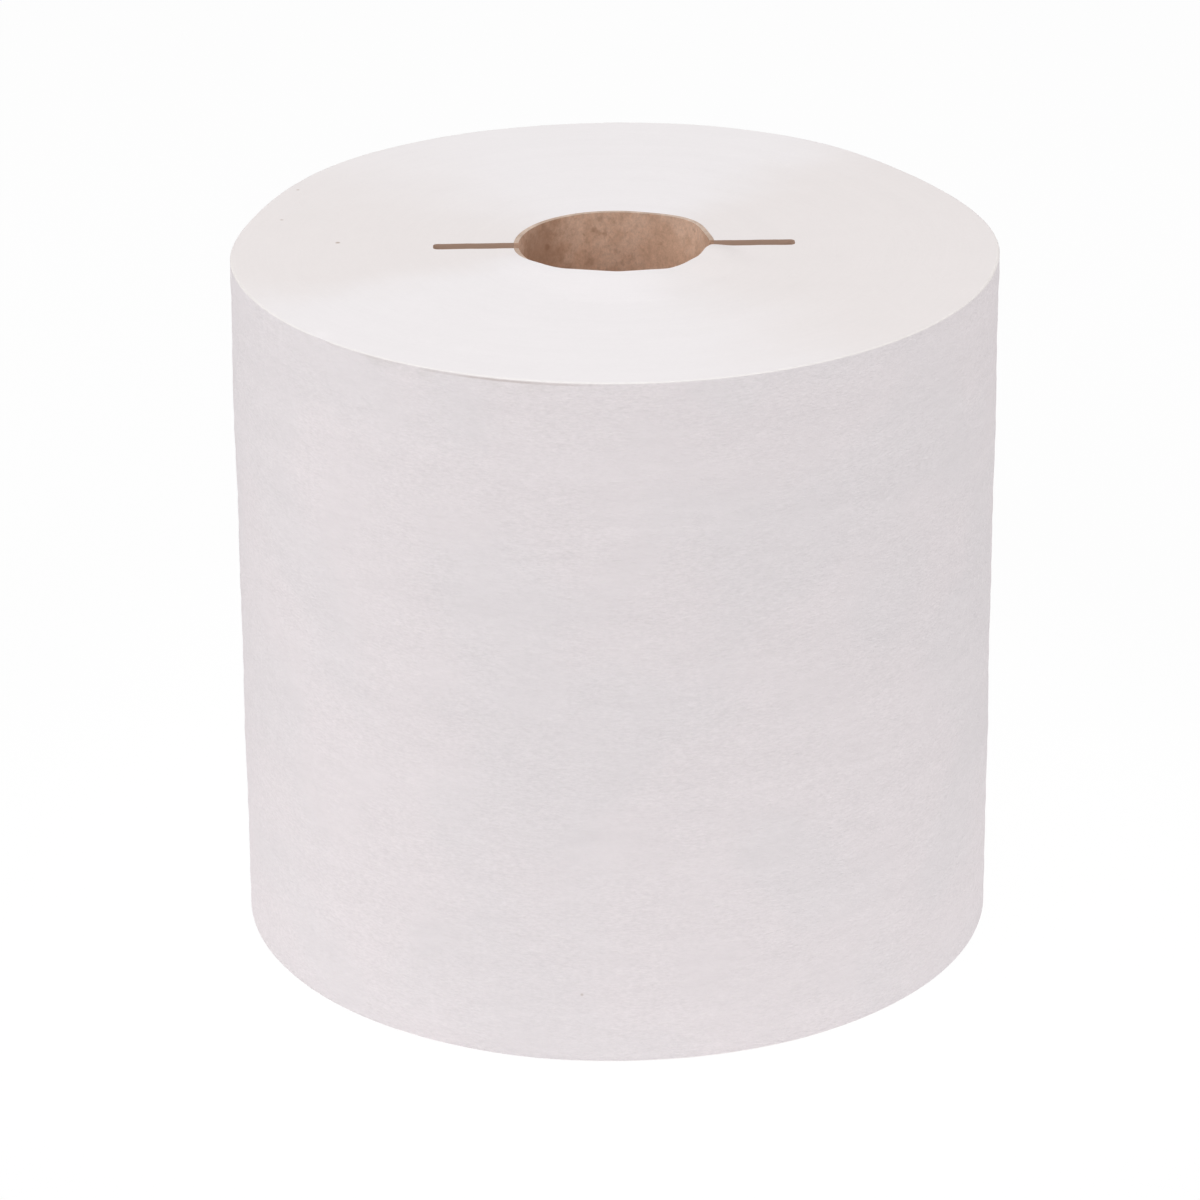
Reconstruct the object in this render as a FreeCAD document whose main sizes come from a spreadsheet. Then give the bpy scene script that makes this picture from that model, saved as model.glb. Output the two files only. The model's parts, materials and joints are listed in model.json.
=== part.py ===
import FreeCAD, Part
import Sketcher
import os
from math import floor, pi

from FreeCAD import Vector

# A hard-wound paper towel roll for a wall dispenser, standing on its end.
# The web is wound on a paperboard core, and a key slot is cut across the top end, through both.
# Millimetres, +Z up along the roll's axis, origin at the centre of the bottom end, slot along X.

# Driving dimensions: alias, value, meaning.
SIZES = [
    ("roll_width", 190.5, "width of the web, and the height of the roll as it stands"),
    ("roll_diameter", 204.0, "outside of the roll, over the tail of the web"),
    ("sheet_thickness", 0.125, "one turn of the web, and the step that its tail leaves"),
    ("turns_per_line", 80, "turns of the web from one turn line on an end to the next"),
    ("turns_in_line", 4, "turns that sit low together and make the line"),
    ("turn_line_depth", 0.25, "how low they sit"),
    ("bore_diameter", 50.8, "inside of the core, where the dispenser's hubs go in"),
    ("core_wall", 1.3, "wound paperboard of the core"),
    ("strip_lead", 132.0, "climb of the core's inner board strip in one turn"),
    ("strip_gap", 0.8, "open seam between two turns of that strip, along the axis"),
    ("strip_thickness", 0.4, "the strip itself, and so the depth of its seam"),
    ("slot_length", 96.0, "key slot, end to end across the bore"),
    ("slot_width", 4.2, "key slot, side to side"),
    ("slot_depth", 12.0, "key slot, down from the top end"),
    ("slot_corner", 1.2, "rounding of the slot's corners, seen from above"),
]

Z_AXIS = Vector(0, 0, 1)
QUARTER = pi / 2
START, END, CENTRE = 1, 2, 3  # the points of a line or an arc, as constraints number them
ORIGIN = (-1, 1)
X_AXIS = -1

doc = FreeCAD.newDocument("towel_roll")


def write_sheet():
    """The spreadsheet of driving dimensions, one to a row."""
    sheet = doc.addObject("Spreadsheet::Sheet", "Sizes")
    for row, (alias, value, meaning) in enumerate(SIZES, start=1):
        sheet.set(f"A{row}", alias)
        sheet.set(f"B{row}", str(value))
        sheet.set(f"C{row}", meaning)
        sheet.setAlias(f"B{row}", alias)
    doc.recompute()
    return sheet


class Size:
    """A size taken or worked out from the sheet: its value, and the expression that keeps it so."""

    def __init__(self, value, text):
        self.value = value
        self.text = text

    @staticmethod
    def of(other):
        return other if isinstance(other, Size) else Size(other, str(other))

    def __add__(self, other):
        other = Size.of(other)
        return Size(self.value + other.value, f"({self.text} + {other.text})")

    def __sub__(self, other):
        other = Size.of(other)
        return Size(self.value - other.value, f"({self.text} - {other.text})")

    def __mul__(self, other):
        other = Size.of(other)
        return Size(self.value * other.value, f"({self.text} * {other.text})")

    def __truediv__(self, other):
        other = Size.of(other)
        return Size(self.value / other.value, f"({self.text} / {other.text})")


sheet = write_sheet()


def named(alias):
    """One driving dimension of the sheet."""
    return Size(float(getattr(sheet, alias)), f"Sizes.{alias}")


# Sizes that more than one feature shares
roll_width = named("roll_width")
roll_radius = named("roll_diameter") / 2
bore_radius = named("bore_diameter") / 2
core_radius = bore_radius + named("core_wall")


class Drawing:
    """A sketch on one of a body's origin planes. Its constraints go in together, in finish()."""

    def __init__(self, body, name, plane="XY_Plane", height=None):
        self.sketch = body.newObject("Sketcher::SketchObject", name)
        origin_plane = next(f for f in body.Origin.OriginFeatures if f.Role == plane)
        self.sketch.AttachmentSupport = [(origin_plane, "")]
        self.sketch.MapMode = "FlatFace"
        if height is not None:
            self.sketch.setExpression(".AttachmentOffset.Base.z", height.text)
        self.rules = []
        self.bound = []

    def line(self, start, end, construction=False):
        segment = Part.LineSegment(Vector(*start, 0), Vector(*end, 0))
        return self.sketch.addGeometry(segment, construction)

    def arc(self, centre, radius, first_angle, last_angle):
        circle = Part.Circle(Vector(*centre, 0), Z_AXIS, radius)
        return self.sketch.addGeometry(Part.ArcOfCircle(circle, first_angle, last_angle), False)

    def circle(self, radius):
        """A circle about the sketch's origin."""
        ring = self.sketch.addGeometry(Part.Circle(Vector(), Z_AXIS, radius.value), False)
        self.tie("Coincident", ring, CENTRE, *ORIGIN)
        self.measure("Radius", ring, size=radius)
        return ring

    def polygon(self, corners, construction=False):
        """Lines through the corners in turn, closed, each running along one of the sketch's axes."""
        ends = corners[1:] + corners[:1]
        sides = [self.line(a, b, construction) for a, b in zip(corners, ends)]
        for side, following in zip(sides, sides[1:] + sides[:1]):
            self.tie("Coincident", side, END, following, START)
        for side, a, b in zip(sides, corners, ends):
            self.tie("Horizontal" if a[1] == b[1] else "Vertical", side)
        return sides

    def tie(self, kind, *ends):
        self.rules.append(Sketcher.Constraint(kind, *ends))

    def measure(self, kind, *ends, size):
        self.bound.append((len(self.rules), size))
        self.rules.append(Sketcher.Constraint(kind, *ends, size.value))

    def finish(self):
        """Hand the constraints over, and bind the measured ones to the sheet."""
        self.sketch.addConstraint(self.rules)
        for index, size in self.bound:
            self.sketch.setExpression(f"Constraints[{index}]", size.text)
        return self.sketch


class Spiral:
    """Quarter arcs wound anticlockwise about the corners of a small square, from the +Y side.

    Each arc takes the next corner for its centre, so its radius is a side of the square more
    than the last one's, and the spiral gains four sides, its pitch, in each turn.
    """

    # First corner of the square, in half sides, then the others in the order that arcs use them
    CORNERS = [(-1, -1), (1, -1), (1, 1), (-1, 1)]

    def __init__(self, drawing, pitch):
        self.drawing = drawing
        self.side = pitch / 4
        half = self.side.value / 2
        self.corners = [(x * half, y * half) for x, y in self.CORNERS]
        self.square = drawing.polygon(self.corners, construction=True)
        drawing.tie("Equal", self.square[0], self.square[1])
        drawing.tie("Symmetric", self.square[0], START, self.square[2], START, *ORIGIN)
        drawing.measure("DistanceX", self.square[0], START, self.square[0], END, size=self.side)

    def wind(self, start_radius, quarters):
        """Draw the arcs, the first of them starting at start_radius above the first corner."""
        arcs = []
        for count in range(quarters):
            corner = count % 4
            radius = start_radius.value + count * self.side.value
            first_angle = (corner + 1) * QUARTER
            arc = self.drawing.arc(self.corners[corner], radius, first_angle, first_angle + QUARTER)
            self.drawing.tie("Coincident", arc, CENTRE, self.square[corner], START)
            if arcs:
                self.drawing.tie("Coincident", arc, START, arcs[-1], END)
            else:
                self.drawing.tie("Vertical", arc, START, arc, CENTRE)
                self.drawing.measure("DistanceY", arc, CENTRE, arc, START, size=start_radius)
            self.drawing.tie("Horizontal" if count % 2 == 0 else "Vertical", arc, END, arc, CENTRE)
            arcs.append(arc)
        return arcs

    def cap(self, arc, arc_end, other, other_end):
        """Join the ends of two arcs by a straight line."""
        line = self.drawing.line(self.point(arc, arc_end), self.point(other, other_end))
        self.drawing.tie("Coincident", line, START, arc, arc_end)
        self.drawing.tie("Coincident", line, END, other, other_end)

    def point(self, arc, end):
        place = self.drawing.sketch.getPoint(arc, end)
        return place.x, place.y


def new_body(name):
    """An empty sub-part. Its label names its file."""
    body = doc.addObject("PartDesign::Body", name)
    body.Label = name
    body.Placement = FreeCAD.Placement()
    return body


def add_feature(body, kind, name, profile, **bound):
    """A feature made from a sketch, with its sizes bound to the sheet."""
    feature = body.newObject(f"PartDesign::{kind}", name)
    feature.Profile = profile
    for size_name, size in bound.items():
        feature.setExpression(size_name, size.text)
    return feature


def cut_slot(body):
    """The key slot down from the top end, which crosses the core and runs on into the web."""
    length, width, corner = (named(f"slot_{what}") for what in ("length", "width", "corner"))
    drawing = Drawing(body, f"{body.Label}_slot_outline", height=roll_width)
    x, y, r = length.value / 2, width.value / 2, corner.value
    front = drawing.line((r - x, -y), (x - r, -y))
    right = drawing.line((x, r - y), (x, y - r))
    back = drawing.line((x - r, y), (r - x, y))
    left = drawing.line((-x, y - r), (-x, r - y))
    sides = [front, right, back, left]
    centres = [(x - r, r - y), (x - r, y - r), (r - x, y - r), (r - x, r - y)]
    rounds = [drawing.arc(c, r, (n - 1) * QUARTER, n * QUARTER) for n, c in enumerate(centres)]
    for side, rounding, following in zip(sides, rounds, sides[1:] + sides[:1]):
        drawing.tie("Tangent", side, END, rounding, START)
        drawing.tie("Tangent", rounding, END, following, START)
    for side, direction in zip(sides, ("Horizontal", "Vertical", "Horizontal", "Vertical")):
        drawing.tie(direction, side)
    for rounding in rounds[1:]:
        drawing.tie("Equal", rounds[0], rounding)
    drawing.measure("Radius", rounds[0], size=corner)
    drawing.tie("Symmetric", front, START, back, START, *ORIGIN)
    drawing.measure("DistanceX", left, END, right, START, size=length)
    drawing.measure("DistanceY", front, END, back, START, size=width)
    return add_feature(body, "Pocket", f"{body.Label}_slot", drawing.finish(), Length=named("slot_depth"))


def make_core():
    """The paperboard tube, spirally wound: the seam of its inner strip shows in the bore."""
    body = new_body("core")
    section = Drawing(body, "core_section")
    section.circle(core_radius)
    section.circle(bore_radius)
    add_feature(body, "Pad", "core_tube", section.finish(), Length=roll_width)
    cut_slot(body)
    cut_strip_seam(body)
    return body


def cut_strip_seam(body):
    """The open seam that climbs the bore, from the -X side, between the turns of the inner strip."""
    gap, thickness = named("strip_gap"), named("strip_thickness")
    near, far = bore_radius - thickness, bore_radius + thickness
    drawing = Drawing(body, "strip_seam_outline", plane="XZ_Plane")
    corners = [(-far.value, -gap.value), (-near.value, -gap.value), (-near.value, 0), (-far.value, 0)]
    _, near_side, top, _ = drawing.polygon(corners)
    drawing.tie("PointOnObject", top, END, X_AXIS)
    drawing.measure("DistanceX", top, START, *ORIGIN, size=near)
    drawing.measure("DistanceX", top, END, *ORIGIN, size=far)
    drawing.measure("DistanceY", near_side, START, near_side, END, size=gap)
    sketch = drawing.finish()
    seam = add_feature(body, "SubtractiveHelix", "strip_seam", sketch,
                       Pitch=named("strip_lead"), Height=roll_width + gap)
    seam.ReferenceAxis = (sketch, ["V_Axis"])
    seam.Mode = "pitch-height-angle"
    return seam


def make_web():
    """All turns of the towel web as one solid, wound on the core and slit square at both ends."""
    body = new_body("towel_web")
    section = Drawing(body, "web_section")
    sheet_thickness = named("sheet_thickness")
    outline = Spiral(section, pitch=sheet_thickness)
    last_turn = outline.wind(roll_radius - sheet_thickness, quarters=4)
    outline.cap(last_turn[-1], END, last_turn[0], START)
    section.circle(core_radius)
    add_feature(body, "Pad", "wound_web", section.finish(), Length=roll_width)
    cut_turn_lines(body)
    cut_slot(body)
    return body


def cut_turn_lines(body):
    """The winding as it shows on both ends: one line that winds from the core to the rim."""
    sheet_thickness = named("sheet_thickness")
    pitch = sheet_thickness * named("turns_per_line")
    line_width = sheet_thickness * named("turns_in_line")
    start_radius = core_radius + pitch / 2
    quarters = floor(4 * ((roll_radius - core_radius).value / pitch.value - 1))
    drawing = Drawing(body, "turn_line_outline", height=roll_width)
    spiral = Spiral(drawing, pitch)
    inner = spiral.wind(start_radius - line_width / 2, quarters)
    outer = spiral.wind(start_radius + line_width / 2, quarters)
    spiral.cap(inner[0], START, outer[0], START)
    spiral.cap(inner[-1], END, outer[-1], END)
    top_line = add_feature(body, "Pocket", "top_turn_line", drawing.finish(),
                           Length=named("turn_line_depth"))
    middle = body.newObject("PartDesign::Plane", "middle_of_web")
    middle.AttachmentSupport = [(next(f for f in body.Origin.OriginFeatures if f.Role == "XY_Plane"), "")]
    middle.MapMode = "FlatFace"
    middle.setExpression(".AttachmentOffset.Base.z", (roll_width / 2).text)
    both = body.newObject("PartDesign::Mirrored", "turn_lines_on_both_ends")
    both.Originals = [top_line]
    both.MirrorPlane = (middle, [""])
    body.Tip = both
    return both


def check_features():
    """Stop on a failed feature, on a cut that missed its solid, and on a bad sub-part."""
    for thing in doc.Objects:
        if "Invalid" in thing.State or "Error" in thing.State:
            raise RuntimeError(f"{thing.Label} failed: {thing.State}")
        if thing.TypeId in ("PartDesign::Pocket", "PartDesign::SubtractiveHelix", "PartDesign::Mirrored"):
            removed = thing.BaseFeature.Shape.Volume - thing.Shape.Volume
            if removed <= 0:
                raise RuntimeError(f"{thing.Label} cuts nothing")
            print(f"{thing.Label} removes {removed:.1f} mm3")
    for body in bodies:
        if body.Shape.isNull() or not body.Shape.isValid() or len(body.Shape.Solids) != 1:
            raise RuntimeError(f"{body.Label} is not one valid solid")


bodies = [make_core(), make_web()]
doc.recompute()
check_features()

os.makedirs("parts", exist_ok=True)
for body in bodies:
    body.Shape.exportStep(f"parts/{body.Label}.step")
    print(f"{body.Label}: {body.Shape.Volume / 1000:.2f} cm3")
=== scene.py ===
import json
import logging
import math
from dataclasses import dataclass
from enum import Enum, IntEnum
from typing import Any, Callable, Iterable, Optional, Sequence

import bmesh
import bpy
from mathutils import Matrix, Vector


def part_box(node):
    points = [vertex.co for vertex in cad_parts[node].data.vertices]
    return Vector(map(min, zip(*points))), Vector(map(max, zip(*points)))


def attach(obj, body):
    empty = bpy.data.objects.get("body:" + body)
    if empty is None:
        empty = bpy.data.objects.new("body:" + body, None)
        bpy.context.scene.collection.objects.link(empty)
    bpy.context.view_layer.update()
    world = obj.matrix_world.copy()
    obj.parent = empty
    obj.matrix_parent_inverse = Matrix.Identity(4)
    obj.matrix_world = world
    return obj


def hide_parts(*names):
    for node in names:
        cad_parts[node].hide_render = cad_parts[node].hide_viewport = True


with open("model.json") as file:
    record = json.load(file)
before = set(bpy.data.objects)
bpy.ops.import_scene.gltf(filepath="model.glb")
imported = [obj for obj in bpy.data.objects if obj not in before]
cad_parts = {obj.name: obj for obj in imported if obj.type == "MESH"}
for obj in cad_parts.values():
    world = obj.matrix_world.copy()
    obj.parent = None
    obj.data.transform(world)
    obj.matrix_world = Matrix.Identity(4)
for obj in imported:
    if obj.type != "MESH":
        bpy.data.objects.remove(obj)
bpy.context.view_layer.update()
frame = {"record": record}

# A hard-wound paper towel roll, standing on its end: the wound web with its tail, and the
# paperboard core. A key slot is cut across the top end. Metres, +Z up, slot along X.

LOG = logging.getLogger("towel_roll")
MM = 0.001
NEAR = 1e-6  # Places that are closer than this are one place.
MIDDLE = 0.5  # The value that a noise varies about.
Colour = tuple[float, float, float]
Place = tuple[float, float, float]
Span = tuple[float, float]
Wave = tuple[float, float, float]


def srgb(red: int, green: int, blue: int) -> Colour:
    """Turn a display colour into a linear one.

    Args:
        red: its red, 0 to 255.
        green: its green.
        blue: its blue.
    Returns:
        The linear colour.
    """
    def linear(value: int) -> float:
        """Undo the display's curve, with the numbers of its standard."""
        share = value / 255
        return share / 12.92 if share <= 0.04045 else ((share + 0.055) / 1.055) ** 2.4

    return linear(red), linear(green), linear(blue)


def mount(name: str) -> dict[str, Any]:
    """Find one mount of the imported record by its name."""
    return next(m for m in frame["record"]["mounts"] if m["name"] == name)


@dataclass(frozen=True)
class RollSizes:
    """Sizes that the web and the core share, read from the frame, in metres."""

    height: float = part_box("towel_web")[1][2]
    radius: float = (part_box("towel_web")[1][0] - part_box("towel_web")[0][0]) / 2
    core_radius: float = (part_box("core")[1][0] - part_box("core")[0][0]) / 2
    bore_radius: float = mount("core_bore")["dims"]["r_mm"] * MM
    slot_length: float = mount("key_slot")["dims"]["slot_length_mm"] * MM
    slot_floor: float = mount("key_slot")["pos_m"][2]
    slot_width: float = 4.2 * MM
    slot_corner: float = 1.2 * MM


SIZES = RollSizes()


# Shader building


@dataclass(frozen=True)
class Grain:
    """A cloudy noise: cells to a metre, finer octaves, how strong they are, and a stretch.

    Where the stretch is above 1 the cells are shorter along that axis, and below 1 longer.
    """

    cells: float
    detail: float
    roughness: float
    stretch: Optional[Place] = None


class Number:
    """A number that varies over a surface: a socket that arithmetic adds Math nodes to."""

    def __init__(self, shader: "Shader", socket: bpy.types.NodeSocket) -> None:
        """Wrap a socket of a shader's tree."""
        self.shader = shader
        self.socket = socket

    def _math(self, operation: str, *values: Any) -> "Number":
        """Add a Math node.

        Args:
            operation: the node's operation.
            values: numbers or sockets, in the order of its inputs.
        Returns:
            The node's result.
        """
        return self.shader.node("ShaderNodeMath", {"operation": operation}, dict(enumerate(values)))

    def __add__(self, other: Any) -> "Number":
        """Add."""
        return self._math("ADD", self, other)

    def __sub__(self, other: Any) -> "Number":
        """Subtract."""
        return self._math("SUBTRACT", self, other)

    def __rsub__(self, other: Any) -> "Number":
        """Subtract from a plain number."""
        return self._math("SUBTRACT", other, self)

    def __mul__(self, other: Any) -> "Number":
        """Multiply."""
        return self._math("MULTIPLY", self, other)

    def __truediv__(self, other: Any) -> "Number":
        """Divide."""
        return self._math("DIVIDE", self, other)

    def __pow__(self, other: Any) -> "Number":
        """Raise to a power."""
        return self._math("POWER", self, other)

    __radd__ = __add__
    __rmul__ = __mul__

    def absolute(self) -> "Number":
        """Drop the sign."""
        return self._math("ABSOLUTE", self)

    def fade(self, start: float, end: float) -> "Number":
        """Go smoothly from 0 to 1 between two values.

        Args:
            start: where the result is 0.
            end: where it is 1, above start or below it.
        Returns:
            The result.
        """
        inputs = {"Value": self, "From Min": min(start, end), "From Max": max(start, end)}
        rising = self.shader.node("ShaderNodeMapRange", {"interpolation_type": "SMOOTHSTEP"}, inputs)
        return rising if start < end else 1 - rising


class Shader:
    """The node tree of one material."""

    def __init__(self, name: str) -> None:
        """Start a material with an empty tree.

        Args:
            name: what it is called.
        """
        self.material = bpy.data.materials.new(name)
        self.material.use_nodes = True
        self.tree = self.material.node_tree
        self.tree.nodes.clear()

    def node(self, kind: str, settings: Optional[dict] = None, inputs: Optional[dict] = None,
             output: Any = 0) -> Number:
        """Add a node.

        Args:
            kind: the node's type.
            settings: its properties, set first.
            inputs: values or links of its sockets, by name or number.
            output: the socket to give back, by name or number.
        Returns:
            The chosen output, wrapped.
        """
        node = self.tree.nodes.new(kind)
        for name, value in (settings or {}).items():
            setattr(node, name, value)
        for name, value in (inputs or {}).items():
            if isinstance(value, Number):
                self.tree.links.new(value.socket, node.inputs[name])
            else:
                node.inputs[name].default_value = value
        return Number(self, node.outputs[output])

    def place(self) -> Number:
        """Give the point on the piece, in the object's own metres."""
        return self.node("ShaderNodeTexCoord", output="Object")

    def axes(self, vector: Number) -> tuple[Number, Number, Number]:
        """Split a vector into its x, y and z."""
        split = self.node("ShaderNodeSeparateXYZ", inputs={0: vector}).socket.node
        return tuple(Number(self, split.outputs[axis]) for axis in range(3))

    def vector(self, x: Any, y: Any, z: Any) -> Number:
        """Make a vector of three numbers."""
        return self.node("ShaderNodeCombineXYZ", inputs={0: x, 1: y, 2: z})

    def noise(self, place: Number, grain: Grain) -> Number:
        """Give a cloudy noise.

        Args:
            place: where it is read.
            grain: its size and its texture.
        Returns:
            The noise, 0 to 1 and mostly near the middle.
        """
        if grain.stretch is not None:
            place = self.node("ShaderNodeMapping", inputs={"Vector": place, "Scale": grain.stretch})
        inputs = {"Vector": place, "Scale": grain.cells, "Detail": grain.detail,
                  "Roughness": grain.roughness}
        return self.node("ShaderNodeTexNoise", {"noise_dimensions": "3D"}, inputs, "Fac")

    def mix(self, share: Any, first: Any, second: Any) -> Number:
        """Blend two colours.

        Args:
            share: 0 for the first, 1 for the second.
            first: a colour or a link.
            second: a colour or a link.
        Returns:
            The blend.
        """
        node = self.tree.nodes.new("ShaderNodeMix")
        node.data_type = "RGBA"
        node.clamp_factor = True
        sockets = {"Factor_Float": share, "A_Color": first, "B_Color": second}
        for socket in node.inputs:
            if socket.identifier in sockets:
                value = sockets[socket.identifier]
                if isinstance(value, Number):
                    self.tree.links.new(value.socket, socket)
                else:
                    socket.default_value = value if isinstance(value, float) else (*value, 1.0)
        return Number(self, next(s for s in node.outputs if s.identifier == "Result_Color"))

    def tinted(self, colour: Any, by: Number, strength: float) -> Number:
        """Lighten and darken a colour by a noise.

        Args:
            colour: a colour or a link.
            by: the noise.
            strength: how much lighter the colour is at 1 than at 0.
        Returns:
            The tinted colour.
        """
        factor = 1 + (by - MIDDLE) * strength
        grey = self.vector(factor, factor, factor)
        return self.node("ShaderNodeVectorMath", {"operation": "MULTIPLY"}, {0: colour, 1: grey})

    def bump(self, height: Number, distance: float, normal: Optional[Number] = None) -> Number:
        """Turn a height into a shading normal.

        Args:
            height: the height, 0 to 1.
            distance: what a height of 1 stands for, in metres.
            normal: a normal that this one builds on.
        Returns:
            The normal.
        """
        inputs = {"Height": height, "Distance": distance, "Strength": 1.0}
        if normal is not None:
            inputs["Normal"] = normal
        return self.node("ShaderNodeBump", inputs=inputs, output="Normal")

    def surface(self, colour: Number, roughness: float, specular: float,
                normal: Optional[Number] = None) -> bpy.types.Material:
        """Finish the tree with the surface shader.

        Args:
            colour: base colour.
            roughness: roughness, the same all over.
            specular: specular level, the same all over.
            normal: shading normal.
        Returns:
            The material.
        """
        inputs = {"Base Color": colour, "Roughness": roughness, "Specular IOR Level": specular}
        if normal is not None:
            inputs["Normal"] = normal
        shader = self.node("ShaderNodeBsdfPrincipled", inputs=inputs, output="BSDF")
        self.node_output(shader)
        return self.material

    def node_output(self, shader: Number) -> None:
        """Join a shader to the material's output."""
        node = self.tree.nodes.new("ShaderNodeOutputMaterial")
        self.tree.links.new(shader.socket, node.inputs["Surface"])


# Finishes
#
# A span runs from where something is absent to where it is full, in metres or in values of a noise.
# A tint says how much lighter the colour is where a noise is 1 than where it is 0. A relief is the
# height that its bump stands for.


@dataclass(frozen=True)
class FleckOrShade:
    """A fleck of bark or dirt, or a patch of painted shade: its place on the piece and its size, in
    metres, and its strength.
    """

    place: Place
    size: float
    depth: float
    colour: Colour = srgb(150, 120, 92)
    dark_share: float = 0.25

    def distance(self, shader: Shader, place: Number) -> Number:
        """Measure from the speck's middle to the point on the piece."""
        inputs = {0: place, 1: self.place}
        return shader.node("ShaderNodeVectorMath", {"operation": "DISTANCE"}, inputs, "Value")


def add_flecks(shader: Shader, colour: Number, place: Number, flecks: Iterable[FleckOrShade]) -> Number:
    """Put flecks into a colour, each at its own place.

    Args:
        shader: the shader that is being built.
        colour: what lies round them.
        place: the point on the piece.
        flecks: the flecks of bark or dirt.
    Returns:
        The colour with the specks in it.
    """
    for fleck in flecks:
        share = fleck.distance(shader, place).fade(fleck.size, fleck.size * fleck.dark_share)
        colour = shader.mix(share * fleck.depth, colour, fleck.colour)
    return colour


@dataclass(frozen=True)
class CrepedPaper:
    """The outside of the web: matt white towel, finely creped, with faint bands round the roll."""

    colour: Colour = srgb(229, 223, 225)
    warm: Colour = srgb(231, 224, 226)
    roughness: float = 0.92
    specular: float = 0.25
    flecks: tuple[FleckOrShade, ...] = ()

    crepe: Grain = Grain(1050, 3, 0.7, (0.62, 0.62, 1.9))
    crepe_tint: float = 0.30
    crepe_relief: float = 0.22 * MM
    pulp: Grain = Grain(260, 2, 0.6, (0.55, 0.55, 1.7))
    pulp_tint: float = 0.075
    pulp_relief: float = 0.22 * MM
    bands: Grain = Grain(130, 2, 0.5, (0.14, 0.14, 1))
    band_tint: float = 0.055
    band_relief: float = 0.65 * MM
    patches: Grain = Grain(45, 1, 0.5)
    creped_patches: Span = (0.2, 0.6)
    blush: Grain = Grain(24, 1, 0.5)
    blush_span: Span = (0.42, 0.6)

    wander: Grain = Grain(105, 1, 0.4, (1, 1, 3.0))
    crease_width: Span = (0.020, 0.004)
    creased_patches: Span = (0.50, 0.62)
    creased_pulp: Span = (0.46, 0.58)
    # Painted shade: how much darker the colour is in a crease.
    crease_painted_shade: float = 0.014
    crease_relief: float = 0.03 * MM

    # Painted highlight: the lighter colour of the side's top half-millimetre, where the rounded rim
    # catches the light.
    rim: Colour = srgb(242, 237, 231)
    rim_highlight_depth: Span = (0.50 * MM, 0.25 * MM)
    rim_highlight_share: float = 0.35
    # Where the painted shadow line and the painted shade under the rim stand: at the front, towards the
    # left.
    rim_shade_right: Span = (8 * MM, -28 * MM)
    rim_shade_front: Span = (0, -10 * MM)
    # Painted shadow: a thin dark line just under the rim, broken here and there.
    rim_shadow_line: Colour = srgb(168, 148, 138)
    rim_shadow_left: Span = (-86 * MM, -48 * MM)
    rim_shadow_low: Span = (1.15 * MM, 0.70 * MM)
    rim_shadow_high: Span = (0.25 * MM, 0.50 * MM)
    rim_shadow_breaks: Grain = Grain(60, 3, 0.6, (1, 1, 0.3))
    rim_shadow_unbroken: Span = (0.30, 0.66)
    rim_shadow_share: float = 0.38
    # Painted shade: a cloudy grey band a few millimetres under the rim at the front left.
    under_rim_shade: Colour = srgb(176, 172, 160)
    under_rim_shade_left: Span = (-100 * MM, -84 * MM)
    under_rim_shade_low: Span = (4.6 * MM, 1.2 * MM)
    under_rim_shade_clouds: Grain = Grain(110, 2, 0.5)
    under_rim_shade_span: Span = (0.46, 0.70)
    under_rim_shade_share: float = 0.11

    def material(self) -> bpy.types.Material:
        """Build the finish.

        Returns:
            The material.
        """
        shader = Shader("creped_paper")
        place = shader.place()
        crepe = shader.noise(place, self.crepe)
        pulp = shader.noise(place, self.pulp)
        bands = shader.noise(place, self.bands)
        patches = shader.noise(place, self.patches)
        creped = patches.fade(*self.creped_patches)
        creases = self.creases(shader, place, patches, pulp)
        blush = shader.noise(place, self.blush).fade(*self.blush_span)
        colour = shader.mix(blush, self.colour, self.warm)
        colour = shader.tinted(colour, crepe * creped + MIDDLE * (1 - creped), self.crepe_tint)
        colour = shader.tinted(colour, pulp, self.pulp_tint)
        # Painted shade: the colour is a little darker in the creases.
        colour = shader.tinted(colour, MIDDLE - creases, self.crease_painted_shade)
        colour = shader.tinted(colour, bands, self.band_tint)
        colour = self.painted_rim_light_and_shade(shader, colour, place)
        colour = add_flecks(shader, colour, place, self.flecks)
        normal = shader.bump(bands, self.band_relief)
        normal = shader.bump(pulp, self.pulp_relief, normal)
        normal = shader.bump(crepe, self.crepe_relief, normal)
        normal = shader.bump(1 - creases, self.crease_relief, normal)
        return shader.surface(colour, self.roughness, self.specular, normal)

    def creases(self, shader: Shader, place: Number, patches: Number, pulp: Number) -> Number:
        """Draw short thin creases where a cloudy noise crosses its middle, in some places only.

        Args:
            shader: the shader that is being built.
            place: the point on the piece.
            patches: a slow noise that thins them out.
            pulp: a finer one that breaks them up.
        Returns:
            1 in a crease, 0 beside it.
        """
        line = (shader.noise(place, self.wander) - MIDDLE).absolute().fade(*self.crease_width)
        return line * patches.fade(*self.creased_patches) * pulp.fade(*self.creased_pulp)

    def painted_rim_light_and_shade(self, shader: Shader, colour: Number, place: Number) -> Number:
        """Paint a highlight along the slit edge at the top, a painted shadow line under it at the front
        left, and painted shade a little lower at the front left.

        Args:
            shader: the shader that is being built.
            colour: the paper's colour.
            place: the point on the piece.
        Returns:
            The colour with the edge in it.
        """
        x, y, z = shader.axes(place)
        below = SIZES.height - z
        front = x.fade(*self.rim_shade_right) * y.fade(*self.rim_shade_front)
        # Painted shade: a cloudy grey band a few millimetres under the rim at the front left.
        clouds = shader.noise(place, self.under_rim_shade_clouds).fade(*self.under_rim_shade_span)
        under_rim_shaded = below.fade(*self.under_rim_shade_low) * clouds * x.fade(*self.under_rim_shade_left) * front
        colour = shader.mix(under_rim_shaded * self.under_rim_shade_share, colour, self.under_rim_shade)
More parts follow.
